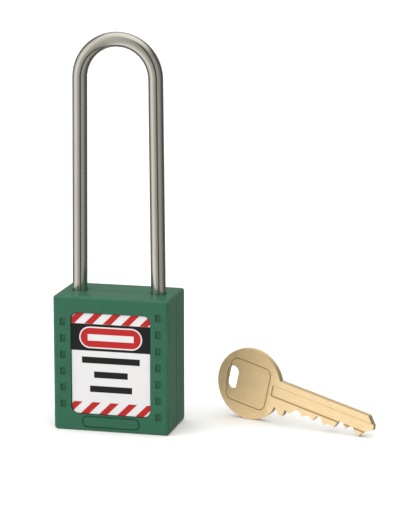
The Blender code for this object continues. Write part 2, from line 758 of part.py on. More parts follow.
def notch_mesh(name, side):
    """The space that a ball sweeps beside its leg, in the leg's own frame, as the lock opens."""
    radius = BALL_RADIUS + RUNNING_GAP
    clear_share = (BALL_BITE + 2 * RUNNING_GAP) / BALL_TRAVEL

    def build(bm):
        for share in (0, clear_share):
            centre = (side * (BALL_X - BALL_TRAVEL * share), 0, -BALL_DEPTH - SHACKLE_LIFT * share)
            bmesh.ops.create_uvsphere(
                bm, u_segments=16, v_segments=10, radius=radius, matrix=Matrix.Translation(centre)
            )
        bmesh.ops.delete(bm, geom=bm.edges[:] + bm.faces[:], context="EDGES_FACES")
        hull = bmesh.ops.convex_hull(bm, input=bm.verts)
        spare = [item for item in hull["geom_interior"] if isinstance(item, bmesh.types.BMVert)]
        bmesh.ops.delete(bm, geom=spare, context="VERTS")

    return mesh_from(name, build)


def make_shackle():
    points, scales = shackle_path()
    shackle = add_part("shackle", wire_mesh("shackle", points, LEG_RADIUS, 10, scales), "steel")
    notches = [
        add_cutter("heel_notch", notch_mesh("heel_notch", -1)),
        add_cutter("toe_notch", notch_mesh("toe_notch", 1)),
    ]
    boolean(shackle, notches)
    open_ring(
        "shackle_retaining_clip",
        CLIP_GROOVE_RADIUS + RUNNING_GAP,
        CLIP_RADIUS,
        CLIP_THICKNESS,
        CLIP_MOUTH,
        "spring",
        (-LEG_X, 0, -CLIP_DEPTH),
    )
    foot = HOUSING_BOTTOM + SHACKLE_SPRING_WIRE
    length = -HEEL_DEPTH - RUNNING_GAP - SHACKLE_SPRING_WIRE - foot
    radius = SPRING_BORE_RADIUS - RUNNING_GAP - SHACKLE_SPRING_WIRE - SEAT_GAP
    path = coil_points(radius, length, SHACKLE_SPRING_TURNS)
    spring = wire_mesh("shackle_spring", path, SHACKLE_SPRING_WIRE, 2)
    add_part("shackle_spring", spring, "spring", (-LEG_X, 0, foot))


def key_blade():
    """The blade's edge from the spine at the bow, round the tip, along the cuts to the shoulder."""
    spine_start = math.sqrt(KEY_BOW_RADIUS**2 - KEY_SPINE**2)
    points = [
        (spine_start, KEY_SPINE),
        (KEY_LENGTH - 2.4 * MM, KEY_SPINE),
        (KEY_LENGTH - 0.1 * MM, 2.0 * MM),
        (KEY_LENGTH, 0.6 * MM),
        (KEY_LENGTH - 2.7 * MM, -0.8 * MM),
        (KEY_LENGTH - 4.6 * MM, -3.1 * MM),
    ]
    centres = [KEY_SHOULDER + FIRST_PIN + index * PIN_PITCH for index in range(PIN_COUNT)]
    for index in reversed(range(PIN_COUNT)):
        root = -KEY_CUT_ROOTS[index]
        points.append((centres[index] + KEY_CUT_HALF_FLAT, root))
        points.append((centres[index] - KEY_CUT_HALF_FLAT, root))
        if index:
            between = (root - KEY_CUT_ROOTS[index - 1]) / 2 - KEY_PEAK_RISE
            peak = max(-KEY_EDGE, between)
            points.append((centres[index] - PIN_PITCH / 2, peak))
    shoulder = [
        (KEY_SHOULDER + 1.7 * MM, -KEY_EDGE - 0.6 * MM),
        (KEY_SHOULDER + 0.2 * MM, -KEY_EDGE + 0.1 * MM),
        (KEY_SHOULDER, -KEY_EDGE - 1.5 * MM),
        (KEY_SHOULDER - 0.4 * MM, -KEY_EDGE - 2.4 * MM),
        (KEY_SHOULDER - 1.4 * MM, -KEY_EDGE - 2.4 * MM),
        (KEY_SHOULDER - 2.6 * MM, -KEY_EDGE - 1.2 * MM),
        (KEY_SHOULDER - 3.8 * MM, -KEY_EDGE - 0.3 * MM),
    ]
    return points + shoulder


def key_bow(blade):
    """The bow's round edge, from the shoulder round to the spine."""
    start = -math.acos((KEY_SHOULDER - 4.2 * MM) / KEY_BOW_RADIUS)
    end = math.atan2(blade[0][1], blade[0][0])
    steps = 36
    sweep = start + math.tau - end
    angles = [start - sweep * step / steps for step in range(steps)]
    return [(KEY_BOW_RADIUS * math.cos(angle), KEY_BOW_RADIUS * math.sin(angle)) for angle in angles]


def key_rest_tilt(blade):
    """Tilt at which the bow's rim and the blade's lowest corner touch one floor."""
    tilts = []
    for along_axis, across in blade:
        reach = math.hypot(along_axis, across)
        if across < 0 and reach > KEY_BOW_RADIUS:
            tilts.append(math.asin(KEY_BOW_RADIUS / reach) - math.atan2(-across, along_axis))
    return min(tilts)


def key_matrix(tilt):
    """Key axes: X along the blade to its tip, Y to the spine, Z out of the face at -Y."""
    heading = Vector((math.cos(KEY_HEADING), math.sin(KEY_HEADING), 0))
    blade_axis = heading * math.cos(tilt) - Z_AXIS * math.sin(tilt)
    spine_axis = heading * math.sin(tilt) + Z_AXIS * math.cos(tilt)
    matrix = Matrix((blade_axis, spine_axis, blade_axis.cross(spine_axis))).transposed().to_4x4()
    matrix.translation = (KEY_SPOT[0], KEY_SPOT[1], FLOOR_Z + KEY_BOW_RADIUS)
    return matrix


def make_key():
    blade = key_blade()
    half_x, half_y = KEY_HOLE_SIZE[0] / 2, KEY_HOLE_SIZE[1] / 2
    hole = [(x - KEY_HOLE_OFFSET, y) for x, y in rounded_rectangle(half_x, half_y, half_x, 6)]
    mesh = flat_mesh("key", [blade + key_bow(blade), hole], KEY_THICKNESS)
    matrix = key_matrix(key_rest_tilt(blade))
    key = add_part("key", mesh, "brass", matrix.translation, matrix.to_3x3())
    start = KEY_BOW_RADIUS * 0.72
    size = (KEY_LENGTH, KEY_GROOVE[1] - KEY_GROOVE[0], KEY_GROOVE_DEPTH * 2)
    centre = Vector(
        (start + KEY_LENGTH / 2, (KEY_GROOVE[0] + KEY_GROOVE[1]) / 2, KEY_THICKNESS / 2)
    )
    groove = add_cutter("key_groove", box_mesh("key_groove", size), matrix @ centre, matrix.to_3x3())
    boolean(key, [groove])


make_case()
make_label("front_label", -1)
make_label("rear_label", 1)
make_base_cover()
make_cover_screws()
make_locking_block()
make_cylinder_housing()
make_pin_stacks()
make_plug()
open_ring(
    "plug_circlip",
    CIRCLIP_GROOVE_RADIUS + RUNNING_GAP,
    CIRCLIP_RADIUS,
    CIRCLIP_THICKNESS,
    CLIP_MOUTH,
    "spring",
    (0, 0, CIRCLIP_BOTTOM + CIRCLIP_THICKNESS / 2),
)
make_cam()
make_balls()
make_shackle()
make_key()
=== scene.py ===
"""Long-shackle safety padlock with its key: moulded nylon case, bent steel shackle, sunk labels.

Metres, +Z up. The case's top face lies at z = 0, and the label side faces -Y.
"""

import math

import bmesh
import bpy
from bpy.props import FloatProperty, FloatVectorProperty, IntProperty, PointerProperty
from bpy.types import Operator, Panel, PropertyGroup
from mathutils import Matrix, Vector


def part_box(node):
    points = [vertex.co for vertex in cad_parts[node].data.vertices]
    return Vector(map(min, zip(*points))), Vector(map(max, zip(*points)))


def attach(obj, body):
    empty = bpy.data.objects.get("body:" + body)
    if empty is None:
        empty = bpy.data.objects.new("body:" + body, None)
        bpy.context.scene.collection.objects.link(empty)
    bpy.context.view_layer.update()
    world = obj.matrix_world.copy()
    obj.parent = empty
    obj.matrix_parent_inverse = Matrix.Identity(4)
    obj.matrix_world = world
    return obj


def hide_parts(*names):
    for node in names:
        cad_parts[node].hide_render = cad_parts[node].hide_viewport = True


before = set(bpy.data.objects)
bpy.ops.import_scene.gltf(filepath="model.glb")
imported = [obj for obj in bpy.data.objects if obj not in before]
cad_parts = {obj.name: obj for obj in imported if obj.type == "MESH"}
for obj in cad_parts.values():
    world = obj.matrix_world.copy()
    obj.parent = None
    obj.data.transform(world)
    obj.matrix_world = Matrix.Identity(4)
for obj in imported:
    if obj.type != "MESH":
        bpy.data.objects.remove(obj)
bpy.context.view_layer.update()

bl_info = {
    "name": "Safety padlock",
    "version": (1, 0, 0),
    "blender": (4, 5, 0),
    "location": "View3D > Sidebar > Padlock",
    "description": "Builds a long-shackle safety padlock, its labels and its key",
    "category": "Object",
}

MM = 0.001
case_low, case_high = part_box("case_shell")
label_low, label_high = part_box("front_label")
rear_low, rear_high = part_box("rear_label")
shackle_low, shackle_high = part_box("shackle")


# Sizes and colours that a user may change


def length(name, text, default):
    return FloatProperty(
        name=name, description=text, default=default, min=0.0, precision=5, unit="LENGTH", subtype="DISTANCE"
    )


def colour(name, text, default):
    return FloatVectorProperty(
        name=name, description=text, default=default, size=3, min=0.0, max=1.0, subtype="COLOR"
    )


def angle(name, text, degrees):
    return FloatProperty(name=name, description=text, default=math.radians(degrees), subtype="ANGLE")


class PadlockCaseSettings(PropertyGroup):
    edge_radius: length("Edge radius", "Rounding of the case's outer edges", 0.9 * MM)
    side_wall: length("Side wall", "Wall at the case's narrow sides", 1.6 * MM)
    face_wall: length("Face wall", "Wall behind the labels", 2.0 * MM)
    top_wall: length("Top wall", "Wall that the shackle passes through", 2.3 * MM)
    cavity_corner: length("Cavity corner", "Corner radius of the space inside", 2.0 * MM)
    recess_depth: length("Recess depth", "How deep the labels are sunk", 0.8 * MM)
    recess_gap: length("Recess gap", "Gap round a label", 0.2 * MM)
    tile_width: length("Tile width", "Width of a blank tile beside the label", 1.8 * MM)
    tile_height: length("Tile height", "Height of a blank tile", 2.4 * MM)
    tile_depth: length("Tile depth", "How deep a tile is sunk", 0.42 * MM)
    tile_pitch: length("Tile pitch", "Spacing of the tiles in a column", 5.4 * MM)
    tile_x: length("Tile offset", "Distance of a column from the middle", 15.775 * MM)
    left_tiles: IntProperty(name="Left tiles", description="Tiles left of the label", default=6, min=1)
    right_tiles: IntProperty(name="Right tiles", description="Tiles right of the label", default=7, min=1)
    ring_width: length("Name ring width", "Width of the bare name ring under the label", 19.4 * MM)
    ring_height: length("Name ring height", "Height of the name ring", 4.0 * MM)
    ring_band: length("Name ring band", "Width of the ring's groove", 0.5 * MM)
    ring_depth: length("Name ring depth", "Depth of the ring's groove", 0.34 * MM)
    ring_z: length("Name ring drop", "Depth of the ring's centre below the top face", 40.95 * MM)
    seam_width: length("Seam width", "Width of the moulding seam", 0.3 * MM)
    seam_depth: length("Seam depth", "Depth of the moulding seam", 0.14 * MM)
    rim_round: length("Rim rounding", "Softening of the moulded rims", 0.13 * MM)
    nylon: colour("Nylon", "Colour of the moulded nylon", (0.017, 0.107, 0.056))


class PadlockLabelSettings(PropertyGroup):
    corner: length("Corner", "Corner radius of a label", 2.2 * MM)
    top_band: length("Top band", "Height of the striped band at the top", 3.4 * MM)
    dark_band: length("Dark band", "Height of the dark band under it", 8.8 * MM)
    foot_band: length("Foot band", "Height of the striped band at the foot", 3.9 * MM)
    stripe_pitch: length("Stripe pitch", "Spacing of the slanted stripes", 6.05 * MM)
    foot_start: length("Foot start", "Where the first stripe starts at the top of the foot band", 0.66 * MM)
    top_shift: length("Top band shift", "How far the top band's stripes stand to the left of the foot's", 4.03 * MM)
    sign_width: length("Sign width", "Width of the blank oval sign", 20.8 * MM)
    sign_height: length("Sign height", "Height of the blank oval sign", 7.1 * MM)
    outline: length("Outline", "Pale line round the sign", 0.42 * MM)
    bar_height: length("Bar height", "Height of the plain bars that stand for printing", 2.1 * MM)
    rule_weight: length("Rule weight", "Thickness of the writing lines", 0.34 * MM)
    film: colour("Film", "Pale colour of the label", (0.66, 0.655, 0.66))
    signal: colour("Signal", "Colour of the stripes and the sign", (0.42, 0.014, 0.014))
    ink: colour("Ink", "Dark colour of the label", (0.008, 0.008, 0.0078))


class PadlockShackleSettings(PropertyGroup):
    radius: length("Rod radius", "Half the rod's diameter", 2.38 * MM)
    lean: length("Lean", "How far each leg leans in at the arch", 0.6 * MM)
    toe_depth: length("Toe depth", "How far the short leg reaches into the case", 12.2 * MM)
    tip_chamfer: length("Tip chamfer", "Chamfer at both ends of the rod", 0.6 * MM)
    clip_depth: length("Clip depth", "Depth of the retaining clip's groove", 28.3 * MM)
    clip_groove: length("Clip groove radius", "Radius inside the clip's groove", 1.9 * MM)
    clip_width: length("Clip groove width", "Width of the clip's groove", 1.0 * MM)
    ball_radius: length("Ball pocket radius", "Radius of the pockets that the balls lock in", 2.75 * MM)
    ball_depth: length("Ball depth", "Depth of the balls below the top face", 6.2 * MM)
    ball_bite: length("Ball bite", "How far a ball reaches into a leg", 1.2 * MM)
    steel: colour("Steel", "Colour of the bright rod", (0.52, 0.50, 0.44))


class PadlockKeySettings(PropertyGroup):
    thickness: length("Thickness", "Thickness of the key blank", 2.2 * MM)
    bow_radius: length("Bow radius", "Radius of the round bow", 11.8 * MM)
    spine: length("Spine", "Height of the blade's back above its axis", 4.8 * MM)
    edge: length("Edge", "Depth of the blade's cut edge below its axis", 4.0 * MM)
    shoulder: length("Shoulder", "Distance from the bow's centre to the shoulder", 14.3 * MM)
    reach: length("Length", "Distance from the bow's centre to the tip", 46.0 * MM)
    first_cut: length("First cut", "Distance from the shoulder to the first cut", 4.7 * MM)
    cut_pitch: length("Cut pitch", "Spacing of the cuts", 3.9 * MM)
    groove_low: length("Groove foot", "Lower side of the milled groove, below the axis", 1.1 * MM)
    groove_high: length("Groove top", "Upper side of the milled groove", 2.6 * MM)
    groove_depth: length("Groove depth", "Depth of the milled groove", 0.5 * MM)
    hole_width: length("Hole width", "Width of the ring hole", 4.0 * MM)
    hole_height: length("Hole height", "Height of the ring hole", 8.2 * MM)
    hole_offset: length("Hole offset", "Distance of the hole from the bow's centre", 6.6 * MM)
    coin_width: length("Coined border width", "Size of the border line on the bow along the blade", 15.2 * MM)
    coin_height: length("Coined border height", "Size of the border line across the blade", 14.8 * MM)
    coin_line: length("Coined line", "Width of the border line", 0.36 * MM)
    coin_depth: length("Coined depth", "Depth of the border line", 0.2 * MM)
    heading: angle("Heading", "Direction of the blade on the floor", -17.0)
    brass: colour("Key brass", "Colour of the key", (0.93, 0.70, 0.40))


class PadlockStageSettings(PropertyGroup):
    floor: colour("Floor", "Colour of the plain floor", (0.94, 0.94, 0.937))
    camera_azimuth: angle("Camera azimuth", "Direction of the camera, from -Y towards +X", 13.93)
    camera_elevation: angle("Camera elevation", "Height angle of the camera", 11.43)
    camera_distance: length("Camera distance", "Distance from the camera to the padlock", 728.7 * MM)
    aim_right: length("Aim right", "How far right of the case the camera aims", 26.14 * MM)
    aim_up: length("Aim up", "How far above the top face the camera aims", 12.47 * MM)
    lens: FloatProperty(
        name="Lens", description="Focal length in millimetres", default=203.57, min=1.0, unit="CAMERA"
    )


# Small shapes, each a bmesh of its own


def slab(width, height, thickness, corner, steps=8):
    """A plate in X and Y with rounded corners, centred on the origin."""
    bm = bmesh.new()
    bmesh.ops.create_cube(bm, size=1.0)
    bmesh.ops.scale(bm, vec=(width, height, thickness), verts=bm.verts)
    uprights = [edge for edge in bm.edges if abs(edge.verts[0].co.z - edge.verts[1].co.z) > thickness / 2]
    bmesh.ops.bevel(
        bm, geom=uprights, offset=corner, segments=steps, profile=0.5, affect="EDGES", material=-1
    )
    return bm


def frame_slab(width, height, thickness, corner, band, steps=8):
    """A slab's outer band alone, open in the middle."""
    bm = slab(width, height, thickness, corner, steps)
    caps = [face for face in bm.faces if abs(face.normal.z) > 0.9]
    bmesh.ops.inset_region(bm, faces=caps, thickness=band, use_even_offset=True)
    rims = [edge for face in caps for edge in face.edges]
    bmesh.ops.delete(bm, geom=caps, context="FACES_ONLY")
    bmesh.ops.bridge_loops(bm, edges=rims)
    bmesh.ops.recalc_face_normals(bm, faces=bm.faces)
    return bm


def rod(radius, length_z, sides=64):
    """A round bar along Z, centred on the origin."""
    bm = bmesh.new()
    bmesh.ops.create_cone(
        bm, cap_ends=True, segments=sides, radius1=radius, radius2=radius, depth=length_z
    )
    return bm


def placed(bm, matrix):
    bmesh.ops.transform(bm, matrix=matrix, verts=bm.verts)
    return bm


def at(x, y, z):
    return Matrix.Translation((x, y, z))


FACING_Y = Matrix.Rotation(math.radians(90), 4, "X")


def merged(shapes):
    """Several separate shapes in one mesh."""
    mesh = bpy.data.meshes.new("merged")
    whole = bmesh.new()
    for bm in shapes:
        bm.to_mesh(mesh)
        bm.free()
        whole.from_mesh(mesh)
    bpy.data.meshes.remove(mesh)
    return whole


def add_object(name, bm):
    mesh = bpy.data.meshes.new(name)
    bm.to_mesh(mesh)
    bm.free()
    obj = bpy.data.objects.new(name, mesh)
    bpy.context.scene.collection.objects.link(obj)
    return obj


def settle_modifiers(obj):
    """Gives the object its evaluated mesh and clears its modifiers."""
    bpy.context.view_layer.update()
    depsgraph = bpy.context.evaluated_depsgraph_get()
    shaped = bpy.data.meshes.new_from_object(obj.evaluated_get(depsgraph), depsgraph=depsgraph)
    plain = obj.data
    obj.modifiers.clear()
    obj.data = shaped
    bpy.data.meshes.remove(plain)
    shaped.name = obj.name


def carve(obj, shapes):
    """Cuts separate shapes out of the object in one Boolean."""
    cutter = add_object(obj.name + "_cutter", merged(shapes))
    cut = obj.modifiers.new("carve", "BOOLEAN")
    cut.operation = "DIFFERENCE"
    cut.solver = "EXACT"
    cut.object = cutter
    settle_modifiers(obj)
    spent = cutter.data
    bpy.data.objects.remove(cutter)
    bpy.data.meshes.remove(spent)


def soften(obj, wanted, width, steps=2):
    """Rounds the sharp edges for which wanted(edge) holds."""
    bm = bmesh.new()
    bm.from_mesh(obj.data)
    bmesh.ops.remove_doubles(bm, verts=bm.verts, dist=1e-7)
    bm.edges.ensure_lookup_table()
    rims = [
        edge for edge in bm.edges
        if len(edge.link_faces) == 2 and edge.calc_face_angle(0.0) > 0.7 and wanted(edge)
    ]
    bmesh.ops.bevel(
        bm, geom=rims, offset=width, segments=steps, profile=0.5, affect="EDGES", material=-1, clamp_overlap=True
    )
    bm.to_mesh(obj.data)
    bm.free()


def finish_piece(obj, surface, body, nodes, crease=35.0):
    """Smooth shading, material, body and replaced nodes of a finished piece."""
    obj.data.materials.clear()
    obj.data.materials.append(surface)
    obj.data.shade_smooth()
    obj.data.set_sharp_from_angle(angle=math.radians(crease))
    normals = obj.modifiers.new("even_normals", "WEIGHTED_NORMAL")
    normals.keep_sharp = True
    normals.weight = 80
    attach(obj, body)
    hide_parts(*nodes)


# Materials


class Surface:
    """A node material under construction."""

    def __init__(self, name, roughness, metallic=0.0):
        self.material = bpy.data.materials.new(name)
        self.material.use_nodes = True
        self.tree = self.material.node_tree
        self.shader = self.tree.nodes["Principled BSDF"]
        self.shader.inputs["Roughness"].default_value = roughness
        self.shader.inputs["Metallic"].default_value = metallic

    def node(self, kind, **settings):
        made = self.tree.nodes.new(kind)
        for key, value in settings.items():
            setattr(made, key, value)
        return made

    def join(self, source, target):
        self.tree.links.new(source, target)

    def place(self):
        return self.node("ShaderNodeTexCoord").outputs["Object"]

    def axes(self, vector):
        """X, Y and Z of a vector, each on its own."""
        split = self.node("ShaderNodeSeparateXYZ")
        self.join(vector, split.inputs["Vector"])
        return split.outputs[:]

    def attribute(self, name):
        return self.node("ShaderNodeAttribute", attribute_name=name).outputs["Vector"]

    def stretched(self, vector, scale, shift=(0, 0, 0)):
        mapping = self.node("ShaderNodeMapping")
        self.join(vector, mapping.inputs["Vector"])
        mapping.inputs["Scale"].default_value = scale
        mapping.inputs["Location"].default_value = shift
        return mapping.outputs["Vector"]

    def noise(self, vector, scale, detail=2.0, roughness=0.5):
        noise = self.node("ShaderNodeTexNoise")
        self.join(vector, noise.inputs["Vector"])
        noise.inputs["Scale"].default_value = scale
        noise.inputs["Detail"].default_value = detail
        noise.inputs["Roughness"].default_value = roughness
        return noise.outputs["Fac"]

    def math(self, operation, first, second=None, third=None):
        made = self.node("ShaderNodeMath", operation=operation)
        for index, value in enumerate((first, second, third)):
            if value is None:
                continue
            if isinstance(value, (int, float)):
                made.inputs[index].default_value = value
            else:
                self.join(value, made.inputs[index])
        return made.outputs[0]

    def diagonal(self, first, second):
        """Length of the diagonal over two sides."""
        squares = [self.math("POWER", side, 2.0) for side in (first, second)]
        return self.math("SQRT", self.math("ADD", *squares))

    def between(self, value, low, high, from_low=0.0, from_high=1.0):
        made = self.node("ShaderNodeMapRange")
        self.join(value, made.inputs["Value"])
        made.inputs["From Min"].default_value = from_low
        made.inputs["From Max"].default_value = from_high
        made.inputs["To Min"].default_value = low
        made.inputs["To Max"].default_value = high
        return made.outputs["Result"]

    def blend(self, share, first, second):
        made = self.node("ShaderNodeMix", data_type="RGBA")
        self.feed(share, made.inputs[0])
        self.feed(first, made.inputs[6])
        self.feed(second, made.inputs[7])
        return made.outputs[2]

    def feed(self, value, target):
        if isinstance(value, bpy.types.NodeSocket):
            self.join(value, target)
        elif isinstance(value, (int, float)):
            target.default_value = value
        else:
            target.default_value = (*value, 1.0)

    def bump(self, heights, distance, strength=1.0):
        made = self.node("ShaderNodeBump")
        self.join(heights, made.inputs["Height"])
        made.inputs["Distance"].default_value = distance
        made.inputs["Strength"].default_value = strength
        self.join(made.outputs["Normal"], self.shader.inputs["Normal"])

    def set(self, **values):
        for key, value in values.items():
            self.feed(value, self.shader.inputs[key.replace("_", " ")])


def shade(tint, factor):
    return tuple(min(1.0, channel * factor) for channel in tint)


def nylon_material(tint):
    """Moulded nylon: fine orange-peel grain, faint mottling, lightly rubbed corners and painted shade in the sunk
    marks.
    """
    nylon = Surface("moulded_nylon", 0.4)
    place = nylon.place()
    mottling = nylon.noise(place, 160.0, 4.0, 0.6)
    body = nylon.blend(mottling, shade(tint, 0.90), shade(tint, 1.12))
    sides = nylon.axes(place)
    middle = (case_low + case_high) / 2
    half = (case_high - case_low) / 2
    reaches = []
    for axis in range(3):
        offset = nylon.math("ABSOLUTE", nylon.math("SUBTRACT", sides[axis], middle[axis]))
        reaches.append(nylon.between(offset, 0.0, 1.0, half[axis] - 1.1 * MM, half[axis] - 0.1 * MM))
    pairs = [nylon.math("MULTIPLY", reaches[a], reaches[b]) for a, b in ((0, 1), (1, 2), (0, 2))]
    corners = nylon.math("MAXIMUM", nylon.math("MAXIMUM", pairs[0], pairs[1]), pairs[2])
    patches = nylon.between(nylon.noise(place, 420.0, 5.0, 0.7), 0.0, 0.75, 0.42, 0.72)
    rubbing = nylon.math("MULTIPLY", corners, patches)
    worn = nylon.blend(rubbing, body, shade(tint, 1.75))
    # Painted shade: faces 0.1 to 1.1 mm behind the front face (tiles, name ring, label recess) are darkened, away
    # from the rounded rims.
    depth = nylon.math("SUBTRACT", sides[1], case_low.y)
    sunk = nylon.math(
        "MULTIPLY",
        nylon.between(depth, 0.0, 1.0, 0.1 * MM, 0.3 * MM),
        nylon.between(depth, 1.0, 0.0, 0.7 * MM, 1.1 * MM),
    )
    clear_of_rims = nylon.math("SUBTRACT", 1.0, nylon.math("MAXIMUM", reaches[0], reaches[2]))
    sunk = nylon.math("MULTIPLY", sunk, clear_of_rims)
    nylon.set(Base_Color=nylon.blend(nylon.math("MULTIPLY", sunk, 0.32), worn, shade(tint, 0.2)))
    grain = nylon.noise(place, 2600.0, 3.0, 0.6)
    nylon.set(Roughness=nylon.between(mottling, 0.34, 0.44))
    nylon.bump(grain, 0.00003, 0.35)
    nylon.set(Specular_IOR_Level=0.36, IOR=1.5)
    return nylon.material


STRIPE_SHARE = 0.47
SIGN_BAR_HALF = 7.6 * MM
PRINTED_BARS = ((0.82, 9.6 * MM), (0.54, 5.6 * MM), (0.26, 7.0 * MM))
RULE_HALF = 10.6 * MM
RULE_SHARES = (0.2, 0.35, 0.5, 0.65, 0.8)


def label_material(settings, low, high, printed):
    """Laminated film: bands, slanted stripes, a blank oval sign and writing lines, or plain with lines."""
    film = Surface("label_film" if printed else "plain_label_film", 0.3)
    place = film.place()
    across, _, rise_z = film.axes(place)
    up = film.math("SUBTRACT", rise_z, low.z)
    height = high.z - low.z
    edge = 0.06 * MM

    def inside(distance):
        """1 where the signed distance is negative, with a soft printed edge."""
        return film.between(distance, 1.0, 0.0, -edge, edge)

    def above(value, level):
        return film.between(value, 0.0, 1.0, level - edge, level + edge)

    def both(first, second):
        return film.math("MULTIPLY", first, second)

    def bar(level, half_length, thickness):
        ends = inside(film.math("SUBTRACT", film.math("ABSOLUTE", across), half_length))
        rise = film.math("ABSOLUTE", film.math("SUBTRACT", up, level))
        return both(ends, inside(film.math("SUBTRACT", rise, thickness / 2)))

    paper = film.noise(place, 300.0, 3.0)
    tone = film.blend(paper, shade(settings.film, 0.97), shade(settings.film, 1.03))
    ink = shade(settings.ink, 1.0)
    if printed:
        foot = settings.foot_band
        top = height - settings.top_band
        dark_foot = top - settings.dark_band
        slant = film.math("SUBTRACT", across, up)
        start = low.x + settings.foot_start - foot
        in_foot = film.math("SUBTRACT", 1.0, above(up, foot))
        in_top = above(up, top)
        shifted = film.math("MULTIPLY_ADD", in_top, settings.top_shift, slant)
        turns = film.math("DIVIDE", film.math("SUBTRACT", shifted, start), settings.stripe_pitch)
        phase = film.math("FRACT", film.math("ADD", turns, 20.0))
        soft = edge / settings.stripe_pitch
        rising = film.between(phase, 0.0, 1.0, 0.0, soft * 2)
        falling = film.between(phase, 1.0, 0.0, STRIPE_SHARE - soft, STRIPE_SHARE + soft)
        stripes = both(rising, falling)
        striped = film.blend(stripes, tone, settings.signal)
        colours = film.blend(film.math("MAXIMUM", in_foot, in_top), tone, striped)
        in_dark = both(above(up, dark_foot), film.math("SUBTRACT", 1.0, in_top))
        colours = film.blend(in_dark, colours, ink)
        sign_radius = settings.sign_height / 2
        half_straight = settings.sign_width / 2 - sign_radius
        reach = film.math("SUBTRACT", film.math("ABSOLUTE", across), half_straight)
        reach = film.math("MAXIMUM", reach, 0.0)
        rise = film.math("SUBTRACT", up, (top + dark_foot) / 2)
        distance = film.math("SUBTRACT", film.diagonal(reach, rise), sign_radius)
        colours = film.blend(inside(distance), colours, tone)
        colours = film.blend(inside(film.math("ADD", distance, settings.outline)), colours, settings.signal)
        colours = film.blend(bar((top + dark_foot) / 2, SIGN_BAR_HALF, settings.bar_height), colours, tone)
        field = dark_foot - foot
        marks = [bar(foot + field * share, half, settings.bar_height) for share, half in PRINTED_BARS]
    else:
        colours = tone
        marks = [bar(height * share, RULE_HALF, settings.rule_weight) for share in RULE_SHARES]
    for mark in marks:
        colours = film.blend(mark, colours, ink)
    film.set(Base_Color=colours, Roughness=film.between(paper, 0.26, 0.36))
    film.bump(film.noise(place, 700.0, 2.0), 0.00001, 0.25)
    film.set(Specular_IOR_Level=0.22)
    return film.material


def bright_steel_material(tint):
    """Drawn and tumbled rod: fine streaks along the rod and small rubbed spots."""
    steel = Surface("bright_steel", 0.3, 1.0)
    rod_place = steel.attribute("rod_place")
    streaks = steel.noise(steel.stretched(rod_place, (2600.0, 2600.0, 26.0)), 1.0, 4.0, 0.65)
    patches = steel.noise(steel.stretched(rod_place, (300.0, 300.0, 90.0)), 1.0, 3.0)
    body = steel.blend(patches, shade(tint, 0.90), shade(tint, 1.07))
    steel.set(Base_Color=steel.blend(steel.between(streaks, 0.0, 0.4, 0.45, 0.75), body, shade(tint, 0.72)))
    rough = steel.math("ADD", steel.between(streaks, 0.12, 0.2), steel.between(patches, -0.03, 0.05))
    steel.set(Roughness=rough)
    steel.bump(streaks, 0.00001, 0.22)
    return steel.material


def key_brass_material(settings):
    """Stamped nickel-brass key: milled grain along the blade, a duller bow and painted shade in its coined line and
    groove.
    """
    tint = settings.brass
    brass = Surface("key_brass", 0.36, 0.8)
    key_place = brass.attribute("key_place")
    grain = brass.noise(brass.stretched(key_place, (60.0, 3800.0, 3800.0)), 1.0, 5.0, 0.7)
    patina = brass.noise(key_place, 260.0, 4.0, 0.6)
    body = brass.blend(patina, shade(tint, 0.86), shade(tint, 1.08))
    along, across, outward = brass.axes(key_place)
    # Painted shade: the coined border line and the groove's walls are darkened by their depth below the face.
    sunk = brass.math("SUBTRACT", settings.thickness / 2, brass.math("ABSOLUTE", outward))
    line = brass.math(
        "MULTIPLY",
        brass.between(sunk, 0.0, 1.0, 0.05 * MM, 0.14 * MM),
        brass.between(sunk, 1.0, 0.0, 0.34 * MM, 0.46 * MM),
    )
    # Painted shadow: a thin dark line along both edges of the milled groove, on the grooved face only.
    from_middle = brass.math("SUBTRACT", across, (settings.groove_high - settings.groove_low) / 2)
    half_groove = (settings.groove_high + settings.groove_low) / 2
    from_border = brass.math("ABSOLUTE", brass.math("SUBTRACT", brass.math("ABSOLUTE", from_middle), half_groove))
    border = brass.math(
        "MULTIPLY",
        brass.between(from_border, 1.0, 0.0, 0.1 * MM, 0.26 * MM),
        brass.between(along, 0.0, 1.0, GROOVE_START * settings.bow_radius, 10.0 * MM),
    )
    border = brass.math("MULTIPLY", border, brass.between(outward, 0.0, 1.0, 0.0, 0.2 * MM))
    line = brass.math("MAXIMUM", line, border)
    body = brass.blend(brass.between(grain, 0.0, 0.5, 0.4, 0.75), body, shade(tint, 0.7))
    brass.set(Base_Color=brass.blend(brass.math("MULTIPLY", line, 0.6), body, shade(tint, 0.35)))
    on_bow = brass.between(along, 0.2, 0.0, 7.0 * MM, 9.0 * MM)
    rough = brass.math("ADD", brass.between(grain, 0.3, 0.42), brass.between(patina, 0.0, 0.08))
    brass.set(Roughness=brass.math("ADD", rough, on_bow))
    brass.bump(grain, 0.00001, 0.3)
    return brass.material


def grained_metal(name, tint, roughness, grain_scale, depth, speckle=0.12):
    """Small inner metal pieces: one tint, fine grain and soft blotches."""
    metal = Surface(name, roughness, 1.0)
    place = metal.place()
    blotches = metal.noise(place, 500.0, 3.0, 0.6)
    grain = metal.noise(place, grain_scale, 4.0, 0.6)
    body = metal.blend(blotches, shade(tint, 1.0 - speckle), shade(tint, 1.0 + speckle / 2))
    metal.set(Base_Color=body, Roughness=metal.between(grain, roughness - 0.06, roughness + 0.08))
    metal.bump(grain, depth, 0.4)
    return metal.material


TURNING_MARKS = 42000.0


